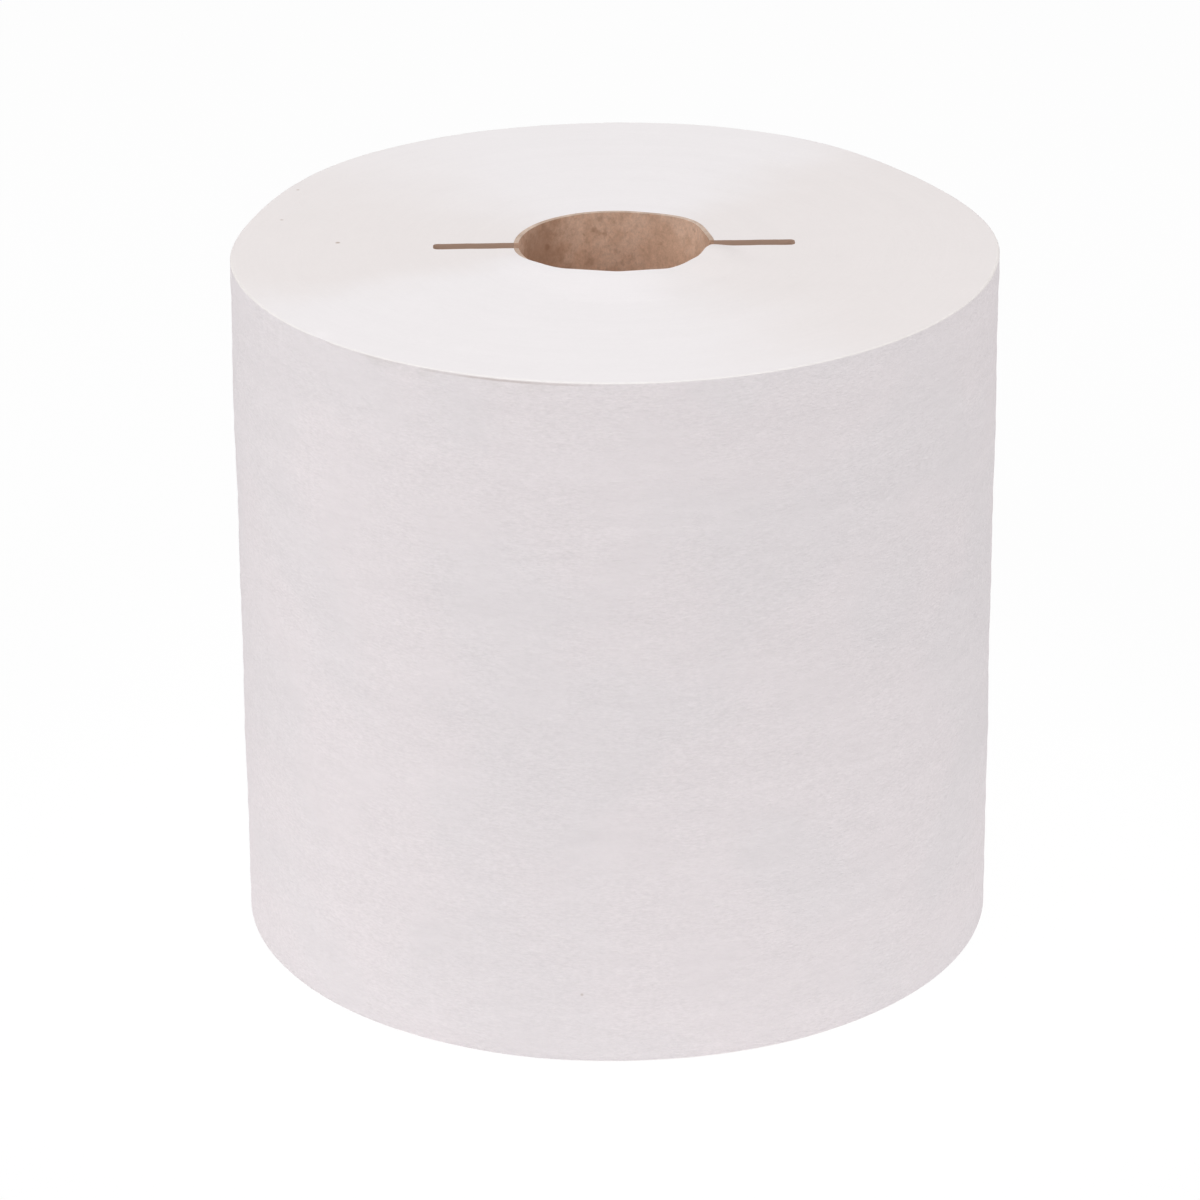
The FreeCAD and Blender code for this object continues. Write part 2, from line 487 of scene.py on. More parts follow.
        # Painted shadow: a thin broken dark line just under the rim at the front, as if the rim's edge
        # shaded it.
        line = below.fade(*self.rim_shadow_low) * below.fade(*self.rim_shadow_high)
        rim_shadowed = line * x.fade(*self.rim_shadow_left) * front
        broken = shader.noise(place, self.rim_shadow_breaks).fade(*self.rim_shadow_unbroken)
        colour = shader.mix(rim_shadowed * broken * self.rim_shadow_share, colour, self.rim_shadow_line)
        # Painted highlight: the top half-millimetre of the side is lighter, as the rounded rim catches
        # the light.
        return shader.mix(below.fade(*self.rim_highlight_depth) * self.rim_highlight_share, colour, self.rim)


@dataclass(frozen=True)
class PaintedSheen:
    """A sector of the slit ends that is painted lighter, as painted sheen, counter-clockwise from one
    edge to the next, in degrees.
    """

    start: float
    start_soft: float
    end: float
    end_soft: float

    def share(self, east: Number, north: Number, stray: Number) -> Number:
        """Tell how much of the painted sheen a point has.

        Args:
            east: the point's x as a share of its distance from the axis.
            north: its y as such a share.
            stray: what makes the edges uneven, about 0.
        Returns:
            0 outside the sector, 1 inside it, and between them at its soft edges.
        """
        def past(edge: float, soft: float) -> Number:
            """Tell whether the point is past an edge.

            Args:
                edge: the edge's angle, in degrees.
                soft: how far it fades to each side, in degrees.
            Returns:
                0 before the edge, 1 past it, and between them where it fades.
            """
            turn = math.radians(edge)
            width = math.sin(math.radians(soft))
            return (north * math.cos(turn) - east * math.sin(turn) + stray).fade(-width, width)

        return past(self.start, self.start_soft) * (1 - past(self.end, self.end_soft))


@dataclass(frozen=True)
class CutTurns:
    """The slit ends of the web: the edges of its turns, with a painted sheen that makes two sectors
    lighter.
    """

    # Painted sheen: the colour of the two lighter sectors; painted shade: the darker colour of the ends
    # between them.
    sheen: Colour = srgb(241, 237, 238)
    shade: Colour = srgb(236, 230, 229)
    roughness: float = 0.95
    specular: float = 0.2
    flecks: tuple[FleckOrShade, ...] = ()

    sectors: tuple[PaintedSheen, ...] = (PaintedSheen(50, 16, 135, 30), PaintedSheen(204, 12, 298, 26))
    stray: Grain = Grain(40, 3, 0.6)
    stray_reach: float = 0.45
    turns: Grain = Grain(1900, 2, 0.6)
    turn_change: float = 0.04
    turn_tint: float = 0.030
    turn_relief: float = 0.02 * MM
    groups: Grain = Grain(230, 2, 0.6)
    group_change: float = 0.06
    group_tint: float = 0.015
    group_relief: float = 0.035 * MM
    fuzz: Grain = Grain(1100, 2, 0.6)
    fuzz_tint: float = 0.035
    fuzz_relief: float = 0.04 * MM
    clouds: Grain = Grain(75, 3, 0.6)
    cloud_tint: float = 0.025

    # Painted highlight: the lighter colour of the ends' outer edge, where the rounded rim catches the
    # light.
    rim: Colour = srgb(246, 242, 236)
    rim_highlight_start: float = 1.0 * MM
    rim_highlight_full: float = 0.4 * MM
    rim_highlight_share: float = 0.25

    def material(self) -> bpy.types.Material:
        """Build the finish.

        Returns:
            The material.
        """
        shader = Shader("cut_turns")
        place = shader.place()
        x, y, _ = shader.axes(place)
        from_axis = (x * x + y * y) ** 0.5
        turns = self.rings(shader, from_axis, x, y, self.turn_change, self.turns)
        groups = self.rings(shader, from_axis, x, y, self.group_change, self.groups)
        fuzz = shader.noise(place, self.fuzz)
        stray = (shader.noise(place, self.stray) - MIDDLE) * self.stray_reach
        # Painted sheen: the ends take the lighter colour in two sectors, as if their cut edges shone
        # there.
        painted_sheen_share = sum(sector.share(x / from_axis, y / from_axis, stray) for sector in self.sectors)
        colour = shader.mix(painted_sheen_share, self.shade, self.sheen)
        colour = shader.tinted(colour, shader.noise(place, self.clouds), self.cloud_tint)
        colour = shader.tinted(colour, groups, self.group_tint)
        colour = shader.tinted(colour, turns, self.turn_tint)
        colour = shader.tinted(colour, fuzz, self.fuzz_tint)
        # Painted highlight along the outer edge of the ends.
        edge = from_axis.fade(SIZES.radius - self.rim_highlight_start, SIZES.radius - self.rim_highlight_full)
        colour = shader.mix(edge * self.rim_highlight_share, colour, self.rim)
        colour = add_flecks(shader, colour, place, self.flecks)
        normal = shader.bump(groups, self.group_relief)
        normal = shader.bump(turns, self.turn_relief, normal)
        normal = shader.bump(fuzz, self.fuzz_relief, normal)
        return shader.surface(colour, self.roughness, self.specular, normal)

    def rings(self, shader: Shader, from_axis: Number, x: Number, y: Number, change: float,
              grain: Grain) -> Number:
        """Draw uneven rings round the axis.

        Args:
            shader: the shader that is being built.
            from_axis: the point's distance from the axis.
            x: its place along x.
            y: its place along y.
            change: how fast the rings change along their way round.
            grain: the noise that they come from.
        Returns:
            The noise.
        """
        return shader.noise(shader.vector(from_axis, x * change, y * change), grain)


@dataclass(frozen=True)
class SlotWall:
    """The walls of the key slot, browned where it was cut."""

    colour: Colour = srgb(196, 168, 150)
    roughness: float = 0.9
    specular: float = 0.2
    dust: Grain = Grain(300, 2, 0.5)
    dust_tint: float = 0.08

    def material(self) -> bpy.types.Material:
        """Build the finish.

        Returns:
            The material.
        """
        shader = Shader("browned_slot")
        colour = shader.tinted(self.colour, shader.noise(shader.place(), self.dust), self.dust_tint)
        return shader.surface(colour, self.roughness, self.specular)


@dataclass(frozen=True)
class Paperboard:
    """Brown board of the core, full of short fibres, with darker flecks here and there and any given
    patches of painted shade.
    """

    name: str = "core_board"
    light: Colour = srgb(224, 192, 170)
    dark: Colour = srgb(209, 174, 150)
    roughness: float = 0.85
    specular: float = 0.3

    clouds: Grain = Grain(120, 2, 0.6)
    light_clouds: Span = (0.38, 0.64)
    cloud_relief: float = 0.10 * MM
    fibres: Grain = Grain(950, 3, 0.8, (1, 1, 0.8))
    fibre_tint: float = 0.75
    fibre_relief: float = 0.06 * MM
    chips: Grain = Grain(420, 2, 0.7)
    chip_span: Span = (0.58, 0.74)
    chip_share: float = 0.30
    # The colour of chips and flecks, and of the patches of painted shade.
    fleck_and_shade: Colour = srgb(150, 112, 88)
    specks_and_shade: tuple[FleckOrShade, ...] = ()
    patch_dark_share: float = 0.2

    def material(self) -> bpy.types.Material:
        """Build the finish.

        Returns:
            The material.
        """
        shader = Shader(self.name)
        place = shader.place()
        clouds = shader.noise(place, self.clouds)
        fibres = shader.noise(place, self.fibres)
        chips = shader.noise(place, self.chips)
        colour = shader.mix(clouds.fade(*self.light_clouds), self.dark, self.light)
        colour = shader.mix(chips.fade(*self.chip_span) * self.chip_share, colour, self.fleck_and_shade)
        colour = shader.tinted(colour, fibres, self.fibre_tint)
        # Given dark patches: flecks of the board, and painted shade where a wide one darkens the bore.
        for fleck_and_shade in self.specks_and_shade:
            ragged = fleck_and_shade.distance(shader, place) + (chips - MIDDLE) * fleck_and_shade.size
            share = ragged.fade(fleck_and_shade.size, fleck_and_shade.size * self.patch_dark_share) * fleck_and_shade.depth
            colour = shader.mix(share, colour, self.fleck_and_shade)
        normal = shader.bump(clouds, self.cloud_relief)
        normal = shader.bump(fibres, self.fibre_relief, normal)
        return shader.surface(colour, self.roughness, self.specular, normal)


# Modelling by hand


class SelectMode(Enum):
    """What edit mode selects."""

    VERTICES = "VERT"
    EDGES = "EDGE"
    FACES = "FACE"


def let_go() -> None:
    """Go back to object mode with nothing selected."""
    if bpy.context.object and bpy.context.object.mode != "OBJECT":
        bpy.ops.object.mode_set(mode="OBJECT")
    bpy.ops.object.select_all(action="DESELECT")


def only(piece: bpy.types.Object) -> None:
    """Select one object and make it the active one.

    Args:
        piece: the object.
    """
    let_go()
    piece.select_set(True)
    bpy.context.view_layer.objects.active = piece


def edit(piece: bpy.types.Object) -> None:
    """Open a piece in edit mode with nothing selected.

    Args:
        piece: the object.
    """
    only(piece)
    bpy.ops.object.mode_set(mode="EDIT")
    bpy.ops.mesh.select_all(action="DESELECT")


def leave_edit() -> None:
    """Go back to object mode."""
    bpy.ops.object.mode_set(mode="OBJECT")


def pick(piece: bpy.types.Object, mode: SelectMode, wanted: Callable[[Any], bool]) -> int:
    """Select the vertices, edges or faces that a test takes.

    Args:
        piece: the object, in edit mode.
        mode: what is selected.
        wanted: the test, given a vertex, an edge or a face.
    Returns:
        How many were selected.
    """
    bpy.ops.mesh.select_all(action="DESELECT")
    bpy.ops.mesh.select_mode(type=mode.value)
    mesh = bmesh.from_edit_mesh(piece.data)
    parts = {SelectMode.VERTICES: mesh.verts, SelectMode.EDGES: mesh.edges,
             SelectMode.FACES: mesh.faces}[mode]
    chosen = [part for part in parts if wanted(part)]
    for part in chosen:
        part.select_set(True)
    mesh.select_flush_mode()
    bmesh.update_edit_mesh(piece.data)
    return len(chosen)


def section(name: str, inner: float, outer: float, low: float, high: float,
            filled: bool = False) -> bpy.types.Object:
    """Add the upright rectangle that a turned piece is spun from, at the +X side of the axis.

    Args:
        name: the piece's name.
        inner: its near side's distance from the axis.
        outer: its far side's.
        low: its lowest height.
        high: its highest.
        filled: whether its face is kept, for a sweep that stops short of a full turn.
    Returns:
        The piece, in edit mode.
    """
    let_go()
    bpy.ops.mesh.primitive_plane_add(size=1, rotation=(math.pi / 2, 0, 0),
                                     location=((inner + outer) / 2, 0, (low + high) / 2))
    piece = bpy.context.object
    piece.name = piece.data.name = name
    piece.scale = (outer - inner, high - low, 1)
    bpy.ops.object.transform_apply(location=True, rotation=True, scale=True)
    edit(piece)
    if not filled:
        bpy.ops.mesh.select_all(action="SELECT")
        bpy.ops.mesh.delete(type="ONLY_FACE")
    return piece


def divide(piece: bpy.types.Object, cuts: int, along: int, *places: float) -> None:
    """Cut straight sides of a section into equal lengths.

    Args:
        piece: the object, in edit mode.
        cuts: how many cuts.
        along: the axis that the sides run along, 0 or 2.
        places: where they stand on the other axis.
    """
    def on_side(edge: bmesh.types.BMEdge) -> bool:
        """Tell whether an edge lies on one of the sides."""
        return any(all(abs(v.co[2 - along] - place) < NEAR for v in edge.verts) for place in places)

    pick(piece, SelectMode.EDGES, on_side)
    bpy.ops.mesh.subdivide(number_cuts=cuts)


@dataclass(frozen=True)
class Pull:
    """A soft pull on a mesh, in millimetres: where it takes hold, how far it goes, how far it is felt."""

    place: Place
    by: Place
    reach: float
    grip: float = 1.3


def pull(piece: bpy.types.Object, pulls: Iterable[Pull]) -> None:
    """Pull a mesh out of true at some places, less and less towards the reach of each pull.

    Args:
        piece: the object.
        pulls: the pulls, in turn.
    """
    edit(piece)
    for one in pulls:
        held = Vector([length * MM for length in one.place])
        if not pick(piece, SelectMode.VERTICES, lambda v: (v.co - held).length < one.grip * MM):
            LOG.warning("%s: nothing to hold at %s", piece.name, one.place)
            continue
        bpy.ops.transform.translate(value=[length * MM for length in one.by],
                                    use_proportional_edit=True, proportional_edit_falloff="SMOOTH",
                                    proportional_size=one.reach * MM)
    leave_edit()


RIGHT_FLAT = Pull((88.3, 51.0, 190.5), (-2.8, -1.6, 0), 60, 2.5)
LEFT_FLAT = Pull((-96.6, 32.8, 190.5), (2.1, -0.7, 0), 46, 2.5)
CORE_DENT = Pull((19.1, 18.6, 190.5), (1.5, 0.9, 0), 13)


def unevenness(piece: bpy.types.Object, name: str, scale: float, strength: float) -> None:
    """Push the surface in and out a little, by a cloudy noise.

    Args:
        piece: the object.
        name: what the clouds are called.
        scale: the size of one cloud, in metres.
        strength: the whole range of the push, in metres.
    """
    clouds = bpy.data.textures.new(name, "CLOUDS")
    clouds.noise_scale = scale
    clouds.noise_depth = 1
    apply(piece, "DISPLACE", texture=clouds, texture_coords="LOCAL", direction="NORMAL",
          strength=strength, mid_level=MIDDLE)
    bpy.data.textures.remove(clouds)


def spin_round(steps: int, start: float = 0.0, sweep: float = math.tau) -> None:
    """Spin the section in edit mode about the upright axis and merge where it meets itself.

    Args:
        steps: how many steps.
        start: the angle that the sweep starts at, counted from +X.
        sweep: the angle it goes through, counter-clockwise as seen from above.
    """
    bpy.ops.mesh.select_all(action="SELECT")
    if start:
        bpy.ops.transform.rotate(value=-start, orient_axis="Z", center_override=(0, 0, 0))
    bpy.ops.mesh.spin(steps=steps, angle=-sweep, center=(0, 0, 0), axis=(0, 0, 1))
    bpy.ops.mesh.select_all(action="SELECT")
    bpy.ops.mesh.remove_doubles(threshold=NEAR)


def face_outward() -> None:
    """Turn every face of the mesh in edit mode outward."""
    bpy.ops.mesh.select_all(action="SELECT")
    bpy.ops.mesh.normals_make_consistent(inside=False)


def apply(piece: bpy.types.Object, kind: str, **settings: Any) -> None:
    """Add a modifier and apply it.

    Args:
        piece: the object.
        kind: the modifier's type.
        settings: its properties.
    """
    only(piece)
    modifier = piece.modifiers.new(kind.lower(), kind)
    for name, value in settings.items():
        setattr(modifier, name, value)
    bpy.ops.object.modifier_apply(modifier=modifier.name)


@dataclass(frozen=True)
class SlotBar:
    """The bar that the key slot is cut with. Its upright edges are round, and it stands proud above."""

    length: float = SIZES.slot_length
    width: float = SIZES.slot_width
    low: float = SIZES.slot_floor
    high: float = SIZES.height + 10 * MM
    corner: float = SIZES.slot_corner
    corner_steps: int = 5

    def make(self) -> bpy.types.Object:
        """Model the bar.

        Returns:
            The bar.
        """
        let_go()
        bpy.ops.mesh.primitive_cube_add(size=1, location=(0, 0, (self.low + self.high) / 2))
        bar = bpy.context.object
        bar.name = "slot_bar"
        bar.scale = (self.length, self.width, self.high - self.low)
        bpy.ops.object.transform_apply(location=True, rotation=True, scale=True)
        edit(bar)
        pick(bar, SelectMode.EDGES, lambda e: abs(e.verts[0].co.z - e.verts[1].co.z) > NEAR)
        bpy.ops.mesh.bevel(offset=self.corner, segments=self.corner_steps, affect="EDGES")
        leave_edit()
        return bar

    def cut(self, piece: bpy.types.Object) -> None:
        """Cut the slot into a piece.

        Args:
            piece: the object, a closed mesh.
        """
        bar = self.make()
        apply(piece, "BOOLEAN", operation="DIFFERENCE", solver="EXACT", object=bar,
              material_mode="TRANSFER")
        bpy.data.objects.remove(bar)


def ripple(where: float, waves: Sequence[Wave]) -> float:
    """Add up a few waves.

    Args:
        where: a distance, in metres.
        waves: each wave's height, its length, both in millimetres, and its phase.
    Returns:
        The height there, in metres.
    """
    return sum(height * MM * math.sin(math.tau * where / (length * MM) + phase)
               for height, length, phase in waves)


class Zone(IntEnum):
    """The web's finishes, by the number of their material slot."""

    SIDE = 0
    END = 1
    SLOT = 2


@dataclass
class WoundWeb:
    """The towel web with all its turns, as it shows: the side, both ends and the slot."""

    steps_round: int = 320
    rings_on_top: int = 100
    rings_below: int = 30
    levels: int = 96
    rim_round: float = 0.45 * MM
    rim_steps: int = 3
    turn_waves: Sequence[Wave] = ((0.005, 1.7, 0.4), (0.007, 4.3, 1.9), (0.020, 11.0, 4.0))
    band_waves: Sequence[Wave] = ((0.035, 7.3, 0.0), (0.045, 10.9, 2.2), (0.080, 47.0, 1.0))

    proud_turns: Sequence[Pull] = (
        Pull((0, -26.7, 190.5), (0, 1.2, 1.6), 20),
        Pull((-15, -22.1, 190.7), (0.4, 0.7, 0.9), 16),
        Pull((-22.3, -14.9, 190.7), (0.3, 0.3, 0.45), 11),
        Pull((14, -22.6, 190.9), (-0.2, 0.5, 0.6), 14),
        Pull((23.0, -13.4, 190.7), (-0.5, 0.7, 1.4), 13.5),
        Pull((25.4, -7.9, 190.9), (-0.3, 0.8, 0.8), 7.5))
    rim_knock: Pull = Pull((-77.0, -66.7, 190.4), (0.7, 0.6, -0.4), 3.2)
    slack_size: float = 45 * MM
    slack_depth: float = 0.35 * MM
    lump_size: float = 12 * MM
    lump_depth: float = 0.10 * MM
    loose_depth: float = 1.2 * MM
    core_side_depth: float = 0.5 * MM
    core_side_normal: float = 0.5
    stand_height: float = 0.3 * MM
    stand_rim: float = 1 * MM

    side_flecks: tuple[FleckOrShade, ...] = (FleckOrShade((-0.0120, -0.1015, 0.0196), 0.7 * MM, 0.5),)
    end_flecks: tuple[FleckOrShade, ...] = (FleckOrShade((-0.0733, 0.0040, 0.1905), 0.9 * MM, 0.6),
                                     FleckOrShade((-0.0887, 0.0229, 0.1905), 0.7 * MM, 0.35),
                                     FleckOrShade((-0.0850, 0.0473, 0.1905), 0.7 * MM, 0.35))
    slot_margin: float = 0.01 * MM
    slot_floor_margin: float = 0.1 * MM
    slot_proud: float = 1 * MM
    upright_normal: float = 0.9
    end_normal: float = 0.6
    smooth_angle: float = math.radians(40)

    def make(self) -> bpy.types.Object:
        """Model the web, dress it and put it in the place of the CAD solid.

        Returns:
            The piece.
        """
        piece = self.turned()
        pull(piece, (RIGHT_FLAT, LEFT_FLAT, *self.proud_turns, CORE_DENT, self.rim_knock))
        unevenness(piece, "slack", self.slack_size, self.slack_depth)
        unevenness(piece, "lumps", self.lump_size, self.lump_depth)
        self.settle(piece)
        SlotBar().cut(piece)
        self.dress(piece)
        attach(piece, "root")
        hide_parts("towel_web")
        return piece

    def turned(self) -> bpy.types.Object:
        """Spin the web's section, with its turns and bands a little uneven.

        Returns:
            The piece.
        """
        rim = SIZES.radius - NEAR
        top = SIZES.height - NEAR
        piece = section("wound_web", SIZES.core_radius, SIZES.radius, 0, SIZES.height)
        divide(piece, self.rings_on_top, 0, SIZES.height)
        divide(piece, self.rings_below, 0, 0.0)
        divide(piece, self.levels, 2, SIZES.radius)
        pick(piece, SelectMode.VERTICES, lambda v: v.co.x > rim and (v.co.z < NEAR or v.co.z > top))
        bpy.ops.mesh.bevel(offset=self.rim_round, segments=self.rim_steps, affect="VERTICES")
        mesh = bmesh.from_edit_mesh(piece.data)
        for vertex in mesh.verts:
            if vertex.co.x > rim:
                vertex.co.x += ripple(vertex.co.z, self.band_waves)
            elif vertex.co.z > top:
                vertex.co.z += ripple(vertex.co.x, self.turn_waves)
        bmesh.update_edit_mesh(piece.data)
        spin_round(self.steps_round)
        face_outward()
        leave_edit()
        return piece

    def settle(self, piece: bpy.types.Object) -> None:
        """Press the standing end flat, and keep the turns tight on the core below the proud ones.

        Args:
            piece: the object.
        """
        tight = SIZES.core_radius + self.core_side_depth
        loose_from = SIZES.height - self.loose_depth
        edit(piece)
        pick(piece, SelectMode.FACES, lambda f: abs(f.normal.z) < self.core_side_normal
             and f.calc_center_median().xy.length < tight)
        bpy.ops.mesh.bisect(plane_co=(0, 0, loose_from), plane_no=(0, 0, 1))
        leave_edit()
        for vertex in piece.data.vertices:
            away = vertex.co.xy.length
            inside_rim = away < SIZES.radius - self.stand_rim
            if vertex.co.z < self.stand_height and (inside_rim or vertex.co.z < 0):
                vertex.co.z = 0
            if away < tight and vertex.co.y < 0 and vertex.co.z < loose_from + NEAR:
                vertex.co.x *= SIZES.core_radius / away
                vertex.co.y *= SIZES.core_radius / away

    def dress(self, piece: bpy.types.Object) -> None:
        """Give the side, the ends and the slot their finishes.

        Args:
            piece: the object.
        """
        finishes = {Zone.SIDE: CrepedPaper(flecks=self.side_flecks),
                    Zone.END: CutTurns(flecks=self.end_flecks),
                    Zone.SLOT: SlotWall()}
        piece.data.materials.clear()
        for zone in Zone:
            piece.data.materials.append(finishes[zone].material())
        for face in piece.data.polygons:
            face.material_index = self.zone(face)
        only(piece)
        bpy.ops.object.shade_smooth_by_angle(angle=self.smooth_angle)

    def zone(self, face: bpy.types.MeshPolygon) -> Zone:
        """Tell which finish a face takes.

        Args:
            face: the face.
        Returns:
            Its zone.
        """
        middle = face.center
        upright = abs(face.normal.z) < self.upright_normal
        by_slot = (abs(middle.x) < SIZES.slot_length / 2 + self.slot_margin
                   and abs(middle.y) < SIZES.slot_width / 2 + self.slot_margin
                   and SIZES.slot_floor - self.slot_margin < middle.z < SIZES.height + self.slot_proud)
        if by_slot and (upright or middle.z < SIZES.slot_floor + self.slot_floor_margin):
            return Zone.SLOT
        return Zone.END if abs(face.normal.z) > self.end_normal else Zone.SIDE


@dataclass
class Tail:
    """The last length of the web at the back of the roll, where its free end lies on the turns."""

    thickness: float = 0.30 * MM
    rise: float = 0.32 * MM
    lift_share: float = 0.2
    sweep: float = math.radians(110)
    levels: int = 60
    steps: int = 90
    top_gap: float = 0.25 * MM
    smooth_angle: float = math.radians(50)
    lifts: Sequence[Pull] = (Pull((0, 102.4, 150), (0.5, 0.35, 0), 30, 3),
                             Pull((0, 102.4, 104), (-0.6, 0.6, 0), 26, 3),
                             Pull((0, 102.4, 52), (0.9, 0.9, 0), 30, 3),
                             Pull((0, 102.4, 1), (-0.5, 1.6, 0), 26, 3))

    def make(self) -> bpy.types.Object:
        """Model the tail, let its end hang a little loose, and dress it.

        Returns:
            The piece.
        """
        inner = SIZES.radius - self.thickness
        piece = section("tail", inner, SIZES.radius, self.top_gap, SIZES.height - self.top_gap,
                        filled=True)
        divide(piece, self.levels, 2, inner, SIZES.radius)
        spin_round(self.steps, math.pi / 2 - self.sweep, self.sweep)
        face_outward()
        self.lay(piece)
        leave_edit()
        pull(piece, (RIGHT_FLAT, *self.lifts))
        piece.data.materials.clear()
        # The tail gets no painted shadow line under its top.
        piece.data.materials.append(CrepedPaper(rim_shadow_share=0.0).material())
        only(piece)
        bpy.ops.object.shade_smooth_by_angle(angle=self.smooth_angle)
        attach(piece, "root")
        return piece

    def lay(self, piece: bpy.types.Object) -> None:
        """Sink the tail into the turns where it comes from and lay its free end on top of them.

        Args:
            piece: the object, in edit mode.
        """
        mesh = bmesh.from_edit_mesh(piece.data)
        highest = self.rise + self.thickness * self.lift_share
        for vertex in mesh.verts:
            back = (math.pi / 2 - math.atan2(vertex.co.y, vertex.co.x)) / self.sweep
            out = highest - (self.rise + self.thickness) * max(0.0, back)
            vertex.co += Vector((vertex.co.x, vertex.co.y, 0)).normalized() * out
        bmesh.update_edit_mesh(piece.data)


@dataclass
class CoreTube:
    """The paperboard core: a backing tube, and the inner strip whose seam climbs the bore."""

    steps_round: int = 120
    levels: int = 96
    web_gap: float = 0.02 * MM
    strip_thickness: float = 0.4 * MM
    strip_gap: float = 0.8 * MM
    strip_lead: float = 132 * MM
    cut_light: Colour = srgb(208, 186, 170)
    cut_dark: Colour = srgb(190, 166, 149)
    cut_normal: float = 0.8
    smooth_angle: float = math.radians(35)
    # The first, wide one is painted shade that darkens the left of the bore near its top; the rest are
    # small dark flecks of the board.
    specks_and_shade: tuple[FleckOrShade, ...] = (FleckOrShade((-0.0200, 0.0155, 0.1820), 17 * MM, 0.60),
                                 FleckOrShade((-0.0176, 0.0183, 0.1834), 1.5 * MM, 0.55),
                                 FleckOrShade((-0.0048, 0.0249, 0.1858), 1.3 * MM, 0.38),
                                 FleckOrShade((-0.0031, 0.0252, 0.1887), 1.2 * MM, 0.32),
                                 FleckOrShade((0.0066, 0.0245, 0.1865), 1.1 * MM, 0.22),
                                 FleckOrShade((-0.0059, 0.0247, 0.1768), 2.0 * MM, 0.30),
                                 FleckOrShade((-0.0120, 0.0224, 0.1750), 2.6 * MM, 0.25))

    def make(self) -> bpy.types.Object:
        """Model the core, dress it and put it in the place of the CAD solid.

        Returns:
            The piece.
        """
        backing = self.backing()
        piece = self.strip()
        for tube in (backing, piece):
            SlotBar().cut(tube)
        only(piece)
        backing.select_set(True)
        bpy.ops.object.join()
        piece.name = piece.data.name = "core_tube"
        pull(piece, (CORE_DENT,))
        self.dress(piece)
        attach(piece, "root")
        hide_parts("core")
        return piece

    def backing(self) -> bpy.types.Object:
        """Spin the outer plies, which are one plain tube.

        Returns:
            The tube.
        """
        inner = SIZES.bore_radius + self.strip_thickness
        piece = section("core_backing", inner, SIZES.core_radius - self.web_gap, 0, SIZES.height)
        spin_round(self.steps_round)
        face_outward()
        leave_edit()
        return piece

    def strip(self) -> bpy.types.Object:
        """Spin the inner strip short of a full turn, then twist it so that its seam climbs.

        Returns:
            The strip.
        """
        outer = SIZES.bore_radius + self.strip_thickness
        piece = section("core_strip", SIZES.bore_radius, outer, 0, SIZES.height, filled=True)
        divide(piece, self.levels, 2, SIZES.bore_radius, outer)
        gap_angle = math.tau * self.strip_gap / self.strip_lead
        spin_round(self.steps_round, math.pi + gap_angle, math.tau - gap_angle)
        face_outward()
        leave_edit()
        apply(piece, "SIMPLE_DEFORM", deform_method="TWIST", deform_axis="Z",
              angle=math.tau * SIZES.height / self.strip_lead)
        return piece

    def dress(self, piece: bpy.types.Object) -> None:
        """Give the bore and the cut ends their board.

        Args:
            piece: the object.
        """
        bore = Paperboard(specks_and_shade=self.specks_and_shade)
        ends = Paperboard("core_cut_edge", self.cut_light, self.cut_dark)
        piece.data.materials.clear()
        for board in (bore, ends):
            piece.data.materials.append(board.material())
        for face in piece.data.polygons:
            face.material_index = int(abs(face.normal.z) > self.cut_normal)
        only(piece)
        bpy.ops.object.shade_smooth_by_angle(angle=self.smooth_angle)


# Studio


@dataclass(frozen=True)
class Lamp:
    """A square soft lamp that shines at the middle of the roll."""

    name: str
    place: Place
    size: float
    watts: float

    def hang(self) -> None:
        """Hang the lamp."""
        light = bpy.data.lights.new(self.name, "AREA")
        light.size = self.size
        light.energy = self.watts
        lamp = bpy.data.objects.new(self.name, light)
        bpy.context.scene.collection.objects.link(lamp)
        lamp.location = self.place
        aim = Vector((0, 0, SIZES.height / 2)) - lamp.location
        lamp.rotation_euler = aim.to_track_quat("-Z", "Y").to_euler()


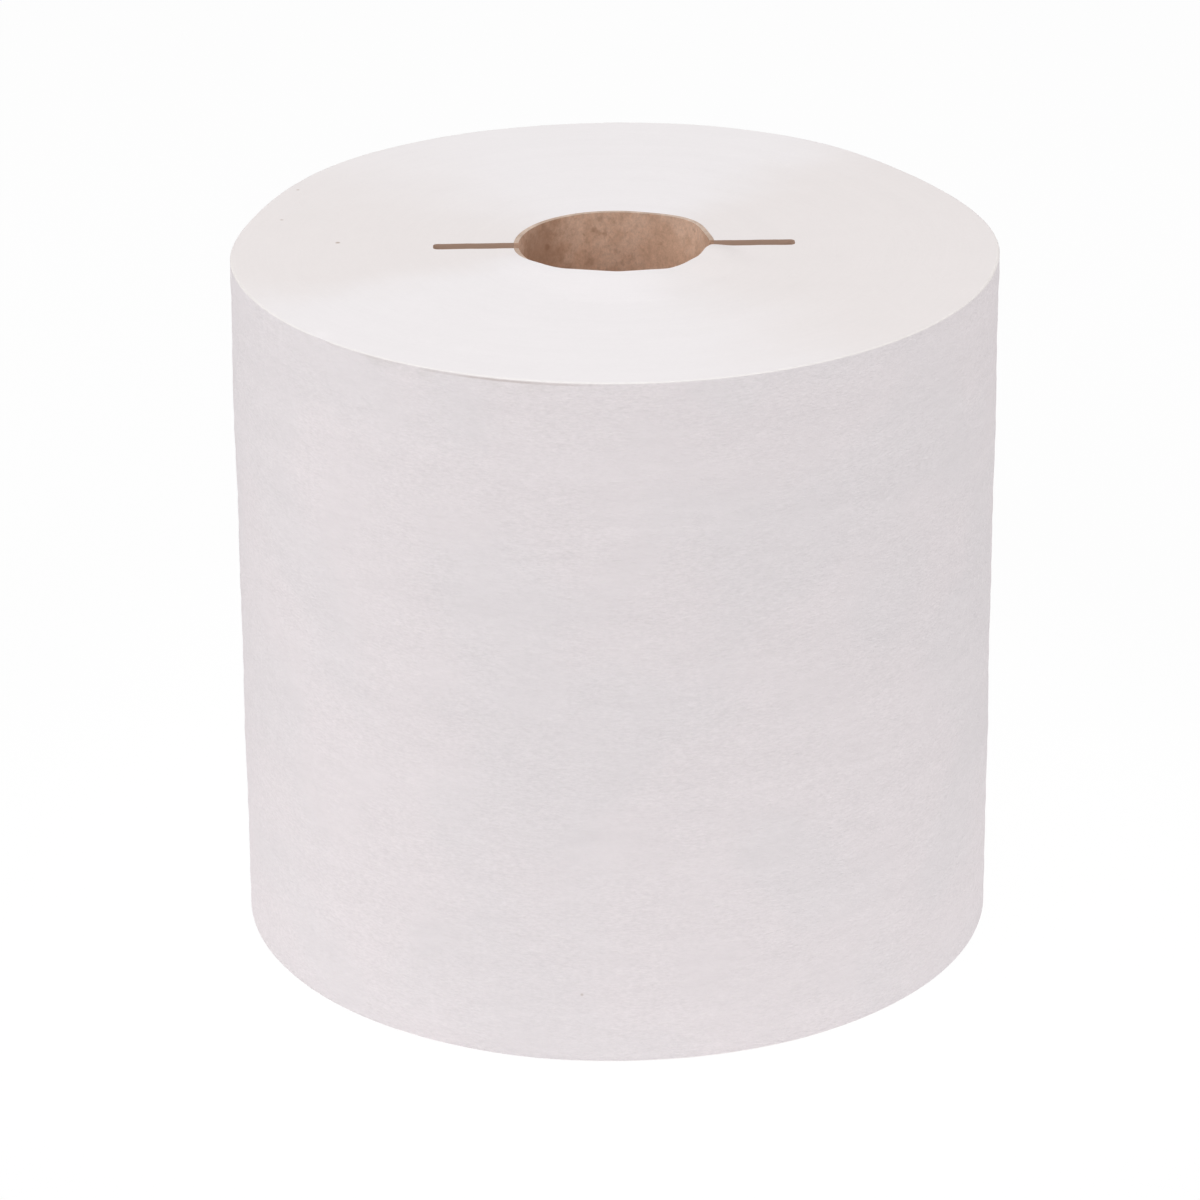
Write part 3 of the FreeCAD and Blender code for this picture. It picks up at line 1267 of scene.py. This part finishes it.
@dataclass(frozen=True)
class Studio:
    """A white floor, even soft light and the camera of the photograph.

    The camera's distance and height are in radii of the roll, and its angles in degrees.
    """

    floor_size: float = 12.0
    floor_tiles: int = 81
    floor_drop: float = 0.15 * MM
    floor_colour: Colour = (0.94, 0.94, 0.94)
    floor_white: float = 0.92
    glow_share: float = 0.35
    glow_reach: float = 0.20
    glow_strength: float = 1.5
    daylight: float = 0.50
    lamps: Sequence[Lamp] = (Lamp("left_lamp", (-2.2, -0.7, 1.6), 1.4, 17.3),
                             Lamp("front_lamp", (-1.1, -1.9, 1.7), 1.4, 14.5),
                             Lamp("right_lamp", (2.1, -1.0, 1.4), 1.4, 18.2),
                             Lamp("top_lamp", (0.0, 0.4, 2.5), 1.8, 16.2))
    camera_distance: float = 13.293
    camera_height: float = 6.634
    camera_pitch: float = 23.478
    camera_yaw: float = -0.182
    camera_roll: float = -0.343
    camera_azimuth: float = 1.5
    focal_length: float = 162.5
    sensor: float = 36.0

    def make(self) -> None:
        """Set up the floor, the world, the lamps and the camera."""
        self.floor()
        self.world()
        for lamp in self.lamps:
            lamp.hang()
        self.camera()
        bpy.context.scene.view_settings.view_transform = "Standard"

    def floor(self) -> None:
        """Lay a floor that looks white, takes the shadow and lights the foot, and is clear from below."""
        let_go()
        bpy.ops.mesh.primitive_grid_add(x_subdivisions=self.floor_tiles, y_subdivisions=self.floor_tiles,
                                        size=self.floor_size, location=(0, 0, -self.floor_drop))
        floor = bpy.context.object
        floor.name = "studio_floor"
        shader = Shader("studio_floor")
        x, y, _ = shader.axes(shader.place())
        from_axis = (x * x + y * y) ** 0.5
        near = from_axis.fade(SIZES.radius + self.glow_reach, SIZES.radius)
        diffuse = shader.node("ShaderNodeBsdfDiffuse", inputs={"Color": (*self.floor_colour, 1.0)})
        glow = shader.node("ShaderNodeEmission", inputs={"Strength": self.glow_strength})
        lit = shader.node("ShaderNodeMixShader", inputs={0: near * self.glow_share, 1: diffuse, 2: glow})
        white = shader.node("ShaderNodeEmission", inputs={"Strength": 1.0})
        seen = shader.node("ShaderNodeLightPath", output="Is Camera Ray")
        above = shader.node("ShaderNodeMixShader", inputs={0: seen * self.floor_white, 1: lit, 2: white})
        behind = shader.node("ShaderNodeNewGeometry", output="Backfacing")
        clear = shader.node("ShaderNodeBsdfTransparent")
        shader.node_output(shader.node("ShaderNodeMixShader", inputs={0: behind, 1: above, 2: clear}))
        shader.material.use_transparent_shadow = False
        floor.data.materials.append(shader.material)

    def world(self) -> None:
        """Light the room evenly, and show it white."""
        world = bpy.data.worlds.new("studio")
        bpy.context.scene.world = world
        world.use_nodes = True
        tree = world.node_tree
        tree.nodes.clear()
        path = tree.nodes.new("ShaderNodeLightPath")
        light = tree.nodes.new("ShaderNodeBackground")
        light.inputs["Strength"].default_value = self.daylight
        white = tree.nodes.new("ShaderNodeBackground")
        white.inputs["Color"].default_value = (1.0, 1.0, 1.0, 1.0)
        mix = tree.nodes.new("ShaderNodeMixShader")
        out = tree.nodes.new("ShaderNodeOutputWorld")
        tree.links.new(path.outputs["Is Camera Ray"], mix.inputs[0])
        tree.links.new(light.outputs[0], mix.inputs[1])
        tree.links.new(white.outputs[0], mix.inputs[2])
        tree.links.new(mix.outputs[0], out.inputs["Surface"])

    def camera(self) -> None:
        """Place the camera."""
        data = bpy.data.cameras.new("camera")
        data.lens = self.focal_length
        data.sensor_width = self.sensor
        camera = bpy.data.objects.new("camera", data)
        bpy.context.scene.collection.objects.link(camera)
        turn = math.radians(self.camera_azimuth)
        distance = self.camera_distance * SIZES.radius
        camera.location = (-distance * math.sin(turn), -distance * math.cos(turn),
                           self.camera_height * SIZES.radius)
        pitch = math.radians(self.camera_pitch)
        yaw = math.radians(self.camera_yaw) + turn
        level = math.cos(pitch)
        ahead = Vector((math.sin(yaw) * level, math.cos(yaw) * level, -math.sin(pitch)))
        camera.rotation_euler = ahead.to_track_quat("-Z", "Y").to_euler()
        camera.rotation_euler.rotate_axis("Z", math.radians(self.camera_roll))
        bpy.context.scene.camera = camera


def main() -> None:
    """Build the roll, set the studio round it and report each piece."""
    logging.basicConfig(level=logging.INFO, format="%(name)s: %(message)s")
    for part in (WoundWeb(), Tail(), CoreTube()):
        piece = part.make()
        LOG.info("%s: %d faces, rides on root", piece.name, len(piece.data.polygons))
    Studio().make()


if __name__ == "__main__":
    main()
